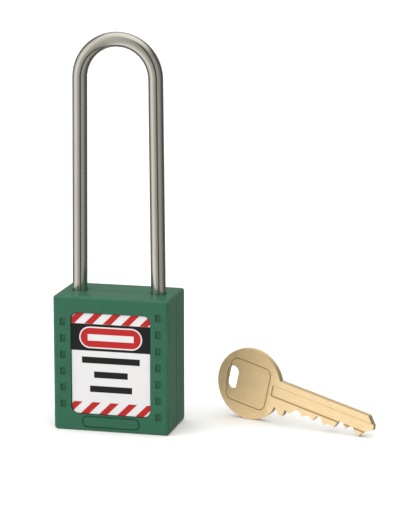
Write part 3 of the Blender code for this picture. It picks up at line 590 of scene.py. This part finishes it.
def turned_brass_material():
    """Plug brass: turning marks round Z and a little tarnish."""
    brass = Surface("turned_brass", 0.3, 1.0)
    place = brass.place()
    x, y, _ = brass.axes(place)
    rings = brass.math("SINE", brass.math("MULTIPLY", brass.diagonal(x, y), TURNING_MARKS))
    tarnish = brass.noise(place, 420.0, 4.0, 0.6)
    brass.set(Base_Color=brass.blend(tarnish, (0.58, 0.40, 0.18), (0.72, 0.53, 0.27)))
    brass.set(Roughness=brass.between(tarnish, 0.24, 0.4))
    brass.bump(rings, 0.000004, 0.35)
    return brass.material


def floor_material(tint):
    floor = Surface("plain_floor", 0.65)
    place = floor.place()
    floor.set(Base_Color=floor.blend(floor.noise(place, 6.0, 2.0), shade(tint, 0.99), shade(tint, 1.0)))
    return floor.material


# Case

LEG_CLEARANCE = 0.17 * MM
TILE_CORNER = 0.3 * MM


def case_recess(settings, y):
    width = label_high.x - label_low.x + 2 * settings.recess_gap
    height = label_high.z - label_low.z + 2 * settings.recess_gap
    corner = bpy.context.scene.padlock_label.corner + settings.recess_gap
    middle = (label_low.z + label_high.z) / 2
    return placed(slab(width, height, 2 * settings.recess_depth, corner, 10), at(0, y, middle) @ FACING_Y)


def case_tiles(settings):
    middle = (label_low.z + label_high.z) / 2
    tiles = []
    for x, count in ((-settings.tile_x, settings.left_tiles), (settings.tile_x, settings.right_tiles)):
        for index in range(count):
            z = middle + ((count - 1) / 2 - index) * settings.tile_pitch
            tile = slab(settings.tile_width, settings.tile_height, 2 * settings.tile_depth, TILE_CORNER, 4)
            tiles.append(placed(tile, at(x, case_low.y, z) @ FACING_Y))
    return tiles


def case_seams(settings, half_gap):
    """Moulding seam across the top between the legs and down both narrow sides."""
    width, depth = settings.seam_width, 2 * settings.seam_depth
    inset = settings.edge_radius + settings.seam_width
    tall = case_high.z - case_low.z - 2 * inset
    seams = [placed(slab(2 * half_gap, width, depth, width * 0.3, 2), at(0, 0, case_high.z))]
    upright = Matrix.Rotation(math.radians(90), 4, "Y")
    for x in (case_low.x, case_high.x):
        seam = slab(tall, width, depth, width * 0.3, 2)
        seams.append(placed(seam, at(x, 0, case_low.z + inset + tall / 2) @ upright))
    return seams


def build_case(context):
    settings = context.scene.padlock_case
    leg_x = shackle_leg_x(context)
    hole = context.scene.padlock_shackle.radius + LEG_CLEARANCE
    size = case_high - case_low
    bm = bmesh.new()
    bmesh.ops.create_cube(bm, size=1.0)
    bmesh.ops.scale(bm, vec=size, verts=bm.verts)
    bmesh.ops.translate(bm, vec=(case_low + case_high) / 2, verts=bm.verts)
    bmesh.ops.bevel(
        bm, geom=bm.edges[:], offset=settings.edge_radius, segments=6, profile=0.5, affect="EDGES", material=-1
    )
    case = add_object("moulded_case", bm)
    cavity = slab(
        size.x - 2 * settings.side_wall,
        size.y - 2 * settings.face_wall,
        2 * (size.z - settings.top_wall),
        settings.cavity_corner,
    )
    carve(case, [placed(cavity, at(0, 0, case_low.z))])
    shapes = [case_recess(settings, case_low.y), case_recess(settings, case_high.y)]
    shapes += case_tiles(settings)
    shapes += case_seams(settings, leg_x - hole - settings.rim_round * 3)
    ring = frame_slab(
        settings.ring_width, settings.ring_height, 2 * settings.ring_depth,
        settings.ring_height * 0.495, settings.ring_band, 12,
    )
    shapes.append(placed(ring, at(0, case_low.y, -settings.ring_z) @ FACING_Y))
    shapes += [placed(rod(hole, 6 * settings.top_wall), at(x, 0, 0)) for x in (-leg_x, leg_x)]
    carve(case, shapes)
    planes = ((1, case_low.y), (1, case_high.y), (2, case_high.z))

    def on_outer_face(edge):
        return any(all(abs(v.co[axis] - level) < 2e-6 for v in edge.verts) for axis, level in planes)

    soften(case, on_outer_face, settings.rim_round)
    finish_piece(case, nylon_material(settings.nylon), "case", ["case_shell"])


def shackle_leg_x(context):
    return shackle_high.x - context.scene.padlock_shackle.radius


class PADLOCK_OT_case(Operator):
    """Moulded nylon case with its label recesses, blank tiles, name ring and shackle holes"""

    bl_idname = "padlock.case"
    bl_label = "Case"
    bl_options = {"REGISTER", "UNDO"}

    def execute(self, context):
        build_case(context)
        return {"FINISHED"}


# Labels

FILM_ROUND = 0.05 * MM


class PADLOCK_OT_labels(Operator):
    """Printed film on the front and a plain writing label on the back"""

    bl_idname = "padlock.labels"
    bl_label = "Labels"
    bl_options = {"REGISTER", "UNDO"}

    def execute(self, context):
        settings = context.scene.padlock_label
        for name, node, low, high, printed in (
            ("front_label_film", "front_label", label_low, label_high, True),
            ("rear_label_film", "rear_label", rear_low, rear_high, False),
        ):
            size = high - low
            plate = slab(size.x, size.z, size.y, settings.corner, 12)
            film = add_object(name, placed(plate, Matrix.Translation((low + high) / 2) @ FACING_Y))
            soften(film, lambda edge: True, FILM_ROUND)
            finish_piece(film, label_material(settings, low, high, printed), "case", [node])
        return {"FINISHED"}


# Shackle

GROOVE_FLANK = 0.02 * MM
HEEL_MIDDLE = -15.0 * MM
POCKET_CLEARANCE = 0.15 * MM
POCKET_DRAW = ((0.0, 0.0), (1.5 * MM, 5.4 * MM))


def grow(bm, ring, shift, factor=1.0):
    """Extrudes an open ring of edges by shift and scales it about its own centre."""
    made = bmesh.ops.extrude_edge_only(bm, edges=ring)
    verts = [item for item in made["geom"] if isinstance(item, bmesh.types.BMVert)]
    edges = [item for item in made["geom"] if isinstance(item, bmesh.types.BMEdge)]
    bmesh.ops.translate(bm, vec=shift, verts=verts)
    if factor != 1.0:
        centre = sum((v.co for v in verts), Vector()) / len(verts)
        bmesh.ops.scale(bm, vec=(factor, factor, factor), space=Matrix.Translation(-centre), verts=verts)
    return edges


def rod_place(point, arch_z, arch_radius, leg_x, lean, toe_side):
    """A point's place on the straightened rod: across, across, and along from the heel."""
    quarter = math.pi * arch_radius
    if point.z > arch_z:
        angle = math.atan2(point.z - arch_z, -point.x)
        reach = math.hypot(point.x, point.z - arch_z) - arch_radius
        return (-reach, point.y, arch_z + angle * arch_radius)
    side = 1 if toe_side else -1
    share = max(0.0, min(1.0, point.z / arch_z))
    centre = side * (leg_x - lean * share)
    along = point.z if side < 0 else 2 * arch_z + quarter - point.z
    return (-side * (point.x - centre), point.y, along)


def build_shackle(context):
    settings = context.scene.padlock_shackle
    radius = settings.radius
    leg_x = shackle_leg_x(context)
    arch_radius = leg_x - settings.lean
    arch_z = shackle_high.z - arch_radius - radius
    top_wall = context.scene.padlock_case.top_wall
    bm = bmesh.new()
    tip = 1 - settings.tip_chamfer / radius
    bmesh.ops.create_circle(
        bm, cap_ends=False, segments=48, radius=radius * tip, matrix=at(-leg_x, 0, shackle_low.z)
    )
    ring = bm.edges[:]
    half = settings.clip_width / 2
    groove = settings.clip_groove / radius
    levels = (
        (shackle_low.z + settings.tip_chamfer, 1 / tip),
        (-settings.clip_depth - half, 1.0),
        (-settings.clip_depth - half + GROOVE_FLANK, groove),
        (-settings.clip_depth + half - GROOVE_FLANK, 1.0),
        (-settings.clip_depth + half, 1 / groove),
        (HEEL_MIDDLE, 1.0),
        (top_wall, 1.0),
    )
    here = shackle_low.z
    for level, factor in levels:
        ring = grow(bm, ring, (0, 0, level - here), factor)
        here = level
    steps = 8
    for _ in range(steps):
        ring = grow(bm, ring, (settings.lean / steps, 0, (arch_z - top_wall) / steps))
    turned = bmesh.ops.spin(
        bm, geom=ring, cent=(0, 0, arch_z), axis=(0, 1, 0), angle=math.pi, steps=72, use_merge=False
    )
    ring = [item for item in turned["geom_last"] if isinstance(item, bmesh.types.BMEdge)]
    for _ in range(steps):
        ring = grow(bm, ring, (settings.lean / steps, 0, -(arch_z - top_wall) / steps))
    ring = grow(bm, ring, (0, 0, -settings.toe_depth + settings.tip_chamfer - top_wall))
    grow(bm, ring, (0, 0, -settings.tip_chamfer), tip)
    bmesh.ops.remove_doubles(bm, verts=bm.verts, dist=1e-7)
    bmesh.ops.holes_fill(bm, edges=[edge for edge in bm.edges if edge.is_boundary], sides=0)
    bmesh.ops.recalc_face_normals(bm, faces=bm.faces)
    shackle = add_object("bright_shackle", bm)
    carve(shackle, [ball_pocket(settings, leg_x, side) for side in (-1, 1)])
    mesh = shackle.data
    places = mesh.attributes.new("rod_place", "FLOAT_VECTOR", "POINT")
    for vertex in mesh.vertices:
        spot = rod_place(vertex.co, arch_z, arch_radius, leg_x, settings.lean, vertex.co.x > 0)
        places.data[vertex.index].vector = spot
    finish_piece(shackle, bright_steel_material(settings.steel), "shackle", ["shackle"])


def ball_pocket(settings, leg_x, side):
    """The hollow that a ball leaves in a leg, drawn out downwards as the lock opens."""
    radius = settings.ball_radius
    ball_x = leg_x - settings.radius + settings.ball_bite - radius + POCKET_CLEARANCE
    bm = bmesh.new()
    for slide, drop in POCKET_DRAW:
        bmesh.ops.create_uvsphere(
            bm, u_segments=32, v_segments=20, radius=radius,
            matrix=at(side * (ball_x - slide), 0, -settings.ball_depth - drop),
        )
    bmesh.ops.delete(bm, geom=bm.edges[:] + bm.faces[:], context="EDGES_FACES")
    hull = bmesh.ops.convex_hull(bm, input=bm.verts)
    spare = [item for item in hull["geom_interior"] if isinstance(item, bmesh.types.BMVert)]
    bmesh.ops.delete(bm, geom=spare, context="VERTS")
    return bm


class PADLOCK_OT_shackle(Operator):
    """Bent steel shackle with its clip groove and ball pockets"""

    bl_idname = "padlock.shackle"
    bl_label = "Shackle"
    bl_options = {"REGISTER", "UNDO"}

    def execute(self, context):
        build_shackle(context)
        return {"FINISHED"}


# Key

CUT_ROOTS = (2.5 * MM, 2.9 * MM, 1.8 * MM, 2.9 * MM, 0.7 * MM, 1.0 * MM)
CUT_HALF_FLAT = 0.7 * MM
CUT_PEAK_RISE = 1.5 * MM
GROOVE_START = 0.72
GROOVE_CORNER = 0.4 * MM
KEY_RIM_ROUND = 0.16 * MM
COIN_CORNER = 2.6 * MM
COIN_SHIFT = -0.35 * MM
KEY_SPOT = (39.8 * MM, 16.3 * MM)


def blade_outline(settings):
    """The blade from the spine at the bow, round the tip, along the cuts to the shoulder."""
    tip, spine, edge, shoulder = settings.reach, settings.spine, settings.edge, settings.shoulder
    points = [
        (math.sqrt(settings.bow_radius**2 - spine**2), spine),
        (tip - 2.4 * MM, spine),
        (tip - 0.1 * MM, 2.0 * MM),
        (tip, 0.6 * MM),
        (tip - 2.7 * MM, -0.8 * MM),
        (tip - 4.6 * MM, -3.1 * MM),
    ]
    centres = [shoulder + settings.first_cut + index * settings.cut_pitch for index in range(len(CUT_ROOTS))]
    for index in reversed(range(len(CUT_ROOTS))):
        root = -CUT_ROOTS[index]
        points.append((centres[index] + CUT_HALF_FLAT, root))
        points.append((centres[index] - CUT_HALF_FLAT, root))
        if index:
            between = (root - CUT_ROOTS[index - 1]) / 2 - CUT_PEAK_RISE
            points.append((centres[index] - settings.cut_pitch / 2, max(-edge, between)))
    points += [
        (shoulder + 1.7 * MM, -edge - 0.6 * MM),
        (shoulder + 0.2 * MM, -edge + 0.1 * MM),
        (shoulder, -edge - 1.5 * MM),
        (shoulder - 0.4 * MM, -edge - 2.4 * MM),
        (shoulder - 1.4 * MM, -edge - 2.4 * MM),
        (shoulder - 2.6 * MM, -edge - 1.2 * MM),
        (shoulder - 3.8 * MM, -edge - 0.3 * MM),
    ]
    return points


def bow_outline(settings, blade):
    """The bow's round edge, from the shoulder round to the spine."""
    start = -math.acos((settings.shoulder - 4.2 * MM) / settings.bow_radius)
    end = math.atan2(blade[0][1], blade[0][0])
    steps = 90
    sweep = start + math.tau - end
    angles = [start - sweep * step / steps for step in range(steps)]
    return [(settings.bow_radius * math.cos(a), settings.bow_radius * math.sin(a)) for a in angles]


def key_tilt(settings, blade):
    """Tilt at which the bow's rim and the blade's lowest corner touch one floor."""
    tilts = []
    for along, across in blade:
        reach = math.hypot(along, across)
        if across < 0 and reach > settings.bow_radius:
            tilts.append(math.asin(settings.bow_radius / reach) - math.atan2(-across, along))
    return min(tilts)


def key_matrix(settings, tilt):
    """Key axes: X along the blade to its tip, Y to the spine, Z out of the face at -Y."""
    heading = Vector((math.cos(settings.heading), math.sin(settings.heading), 0))
    upright = Vector((0, 0, 1))
    along = heading * math.cos(tilt) - upright * math.sin(tilt)
    back = heading * math.sin(tilt) + upright * math.cos(tilt)
    matrix = Matrix((along, back, along.cross(back))).transposed().to_4x4()
    return at(*KEY_SPOT, case_low.z + settings.bow_radius) @ matrix


def build_key(context):
    settings = context.scene.padlock_key
    blade = blade_outline(settings)
    half = settings.thickness / 2
    bm = bmesh.new()
    corners = [bm.verts.new((x, y, -half)) for x, y in blade + bow_outline(settings, blade)]
    rim = [bm.edges.new(pair) for pair in zip(corners, corners[1:] + corners[:1])]
    face = bmesh.ops.contextual_create(bm, geom=rim)["faces"]
    grown = bmesh.ops.extrude_face_region(bm, geom=face, use_keep_orig=True)
    moved = [item for item in grown["geom"] if isinstance(item, bmesh.types.BMVert)]
    bmesh.ops.translate(bm, vec=(0, 0, settings.thickness), verts=moved)
    bmesh.ops.recalc_face_normals(bm, faces=bm.faces)
    key = add_object("cut_key", bm)
    groove_width = settings.groove_high + settings.groove_low
    groove_middle = (settings.groove_high - settings.groove_low) / 2
    groove_start = settings.bow_radius * GROOVE_START
    groove = slab(settings.reach, groove_width, 2 * settings.groove_depth, GROOVE_CORNER, 4)
    shapes = [
        placed(
            slab(settings.hole_width, settings.hole_height, 4 * half, settings.hole_width * 0.495, 12),
            at(-settings.hole_offset, 0, 0),
        ),
        placed(groove, at(groove_start + settings.reach / 2, groove_middle, half)),
    ]
    carve(key, shapes)

    def on_rim(edge):
        return all(abs(abs(v.co.z) - half) < 1e-6 for v in edge.verts)

    soften(key, on_rim, KEY_RIM_ROUND)
    coin = (settings.coin_width, settings.coin_height, 2 * settings.coin_depth, COIN_CORNER, settings.coin_line, 10)
    carve(key, [placed(frame_slab(*coin), at(COIN_SHIFT, 0, side * half)) for side in (-1, 1)])
    mesh = key.data
    places = mesh.attributes.new("key_place", "FLOAT_VECTOR", "POINT")
    for vertex in mesh.vertices:
        places.data[vertex.index].vector = vertex.co
    mesh.transform(key_matrix(settings, key_tilt(settings, blade)))
    finish_piece(key, key_brass_material(settings), "key", ["key"])


class PADLOCK_OT_key(Operator):
    """Cut key with its milled groove, ring hole and coined bow"""

    bl_idname = "padlock.key"
    bl_label = "Key"
    bl_options = {"REGISTER", "UNDO"}

    def execute(self, context):
        build_key(context)
        return {"FINISHED"}


# Inner pieces keep their own shapes


class PADLOCK_OT_mechanism(Operator):
    """Finishes of the base cover, the cylinder and the locking pieces"""

    bl_idname = "padlock.mechanism"
    bl_label = "Mechanism"
    bl_options = {"REGISTER", "UNDO"}

    def execute(self, context):
        turned = turned_brass_material()
        finishes = {
            "base_cover": bpy.data.materials["moulded_nylon"],
            "cover_screw": grained_metal("plated_steel", (0.42, 0.42, 0.43), 0.3, 4000.0, 0.000004),
            "locking_block": grained_metal("cast_zinc", (0.40, 0.40, 0.42), 0.48, 2500.0, 0.00002),
            "spring": grained_metal("spring_steel", (0.50, 0.50, 0.51), 0.22, 6000.0, 0.000003),
            "pin": turned,
            "plug": turned,
            "cam": grained_metal("satin_steel", (0.46, 0.45, 0.43), 0.32, 3000.0, 0.000005),
            "ball": grained_metal("ball_steel", (0.62, 0.62, 0.62), 0.12, 5000.0, 0.000001, 0.04),
        }
        kinds = (
            ("base_cover", "base_cover"), ("cover_screw", "cover_screw"), ("locking_block", "locking_block"),
            ("cylinder_housing", "locking_block"), ("pin_chamber_cover", "pin"), ("plug_circlip", "spring"),
            ("shackle_retaining_clip", "spring"), ("shackle_spring", "spring"), ("pin_spring", "spring"),
            ("driver_pin", "pin"), ("key_pin", "pin"), ("plug", "plug"), ("cam", "cam"), ("ball", "ball"),
        )
        replaced = {"case_shell", "front_label", "rear_label", "shackle", "key"}
        for name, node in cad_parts.items():
            if name in replaced:
                continue
            finish = next((finishes[kind] for start, kind in kinds if name.startswith(start)), None)
            if finish is None:
                raise RuntimeError(f"No finish for {name}")
            node.data.materials.clear()
            node.data.materials.append(finish)
        return {"FINISHED"}


# Stage

# Brightness of the walls by angle from the camera, in degrees; the camera's left is below 0
WALL_LEVELS = (
    (-180, 0.46), (-150, 0.16), (-120, 0.24), (-94, 0.90), (-66, 1.40), (-46, 1.0), (-24, 0.66), (-5, 0.50),
    (2, 0.08), (15, 0.08), (24, 0.58), (55, 0.54), (80, 0.28), (112, 0.08), (145, 0.26), (180, 0.46),
)
CEILING = (1.5, 1.49, 1.46, 1)
FLOOR_SIZE = 6.0
FLOOR_GAP = 0.05 * MM


def build_world(camera_azimuth):
    """Soft studio surroundings: bright on the left, dim on the right, pale overhead."""
    world = bpy.data.worlds.new("soft_studio")
    bpy.context.scene.world = world
    world.use_nodes = True
    tree = world.node_tree
    background = tree.nodes["Background"]
    coordinates = tree.nodes.new("ShaderNodeTexCoord")
    turn = tree.nodes.new("ShaderNodeMapping")
    tree.links.new(coordinates.outputs["Generated"], turn.inputs["Vector"])
    turn.inputs["Rotation"].default_value = (0, 0, math.radians(90) - camera_azimuth)
    around = tree.nodes.new("ShaderNodeTexGradient")
    around.gradient_type = "RADIAL"
    tree.links.new(turn.outputs["Vector"], around.inputs["Vector"])
    walls = tree.nodes.new("ShaderNodeValToRGB")
    tree.links.new(around.outputs["Fac"], walls.inputs["Fac"])
    elements = walls.color_ramp.elements
    while len(elements) > 1:
        elements.remove(elements[-1])
    for index, (angle, level) in enumerate(WALL_LEVELS):
        place = (angle + 180) / 360
        stop = elements[0] if index == 0 else elements.new(place)
        stop.position = place
        stop.color = (level, level, level * 0.985, 1)
    split = tree.nodes.new("ShaderNodeSeparateXYZ")
    tree.links.new(coordinates.outputs["Generated"], split.inputs["Vector"])
    rise = tree.nodes.new("ShaderNodeMapRange")
    tree.links.new(split.outputs["Z"], rise.inputs["Value"])
    rise.inputs["From Min"].default_value = 0.62
    rise.inputs["From Max"].default_value = 0.9
    ceiling = tree.nodes.new("ShaderNodeMix")
    ceiling.data_type = "RGBA"
    tree.links.new(rise.outputs["Result"], ceiling.inputs[0])
    tree.links.new(walls.outputs["Color"], ceiling.inputs[6])
    ceiling.inputs[7].default_value = CEILING
    seen = tree.nodes.new("ShaderNodeLightPath")
    backdrop = tree.nodes.new("ShaderNodeMix")
    backdrop.data_type = "RGBA"
    tree.links.new(seen.outputs["Is Camera Ray"], backdrop.inputs[0])
    tree.links.new(ceiling.outputs[2], backdrop.inputs[6])
    backdrop.inputs[7].default_value = (1.0, 1.0, 1.0, 1)
    tree.links.new(backdrop.outputs[2], background.inputs["Color"])


def add_soft_light(name, source, strength, spread):
    """An even light from one side of the sky, so that the whole floor is lit alike."""
    lamp = bpy.data.lights.new(name, "SUN")
    lamp.energy = strength
    lamp.angle = math.radians(spread)
    obj = bpy.data.objects.new(name, lamp)
    obj.rotation_euler = (-Vector(source)).to_track_quat("-Z", "Y").to_euler()
    obj.visible_glossy = False
    bpy.context.scene.collection.objects.link(obj)


def build_camera(settings):
    azimuth, elevation = settings.camera_azimuth, settings.camera_elevation
    back = Vector((
        math.sin(azimuth) * math.cos(elevation), -math.cos(azimuth) * math.cos(elevation), math.sin(elevation)
    ))
    right = Vector((math.cos(azimuth), math.sin(azimuth), 0))
    up = back.cross(right)
    aim = right * settings.aim_right + up * settings.aim_up
    lens = bpy.data.cameras.new("studio_camera")
    lens.lens = settings.lens
    lens.sensor_fit = "HORIZONTAL"
    lens.sensor_width = 36.0
    lens.clip_start = 0.01
    camera = bpy.data.objects.new("studio_camera", lens)
    turned = Matrix((right, up, back)).transposed().to_4x4()
    camera.matrix_world = Matrix.Translation(aim + back * settings.camera_distance) @ turned
    bpy.context.scene.collection.objects.link(camera)
    bpy.context.scene.camera = camera


class PADLOCK_OT_stage(Operator):
    """Plain pale floor, soft studio light and the camera"""

    bl_idname = "padlock.stage"
    bl_label = "Stage"
    bl_options = {"REGISTER", "UNDO"}

    def execute(self, context):
        settings = context.scene.padlock_stage
        bm = bmesh.new()
        ground = at(0, 0, case_low.z - FLOOR_GAP)
        bmesh.ops.create_grid(bm, x_segments=1, y_segments=1, size=FLOOR_SIZE, matrix=ground)
        floor = add_object("plain_floor", bm)
        floor.data.materials.append(floor_material(settings.floor))
        floor.visible_glossy = False
        build_world(settings.camera_azimuth)
        add_soft_light("overhead_light", (-0.15, -0.35, 0.9), 1.5, 120)
        add_soft_light("front_light", (-0.7, -0.7, 0.55), 0.4, 60)
        build_camera(settings)
        context.scene.view_settings.view_transform = "Standard"
        return {"FINISHED"}


class PADLOCK_PT_panel(Panel):
    """Lists the padlock's pieces and their sizes"""

    bl_label = "Safety padlock"
    bl_idname = "PADLOCK_PT_panel"
    bl_space_type = "VIEW_3D"
    bl_region_type = "UI"
    bl_category = "Padlock"

    def draw(self, context):
        layout = self.layout
        for operator, group in PIECES:
            box = layout.box()
            box.operator(operator)
            if group is None:
                continue
            settings = getattr(context.scene, group)
            for name in settings.__annotations__:
                box.prop(settings, name)


PIECES = (
    ("padlock.case", "padlock_case"),
    ("padlock.labels", "padlock_label"),
    ("padlock.shackle", "padlock_shackle"),
    ("padlock.key", "padlock_key"),
    ("padlock.mechanism", None),
    ("padlock.stage", "padlock_stage"),
)

GROUPS = {
    "padlock_case": PadlockCaseSettings,
    "padlock_label": PadlockLabelSettings,
    "padlock_shackle": PadlockShackleSettings,
    "padlock_key": PadlockKeySettings,
    "padlock_stage": PadlockStageSettings,
}

CLASSES = (
    *GROUPS.values(),
    PADLOCK_OT_case,
    PADLOCK_OT_labels,
    PADLOCK_OT_shackle,
    PADLOCK_OT_key,
    PADLOCK_OT_mechanism,
    PADLOCK_OT_stage,
    PADLOCK_PT_panel,
)


def register():
    for item in CLASSES:
        bpy.utils.register_class(item)
    for name, group in GROUPS.items():
        setattr(bpy.types.Scene, name, PointerProperty(type=group))


def unregister():
    for name in GROUPS:
        delattr(bpy.types.Scene, name)
    for item in reversed(CLASSES):
        bpy.utils.unregister_class(item)


def main():
    register()
    bpy.ops.padlock.case()
    bpy.ops.padlock.labels()
    bpy.ops.padlock.shackle()
    bpy.ops.padlock.key()
    bpy.ops.padlock.mechanism()
    bpy.ops.padlock.stage()


if __name__ == "__main__":
    main()
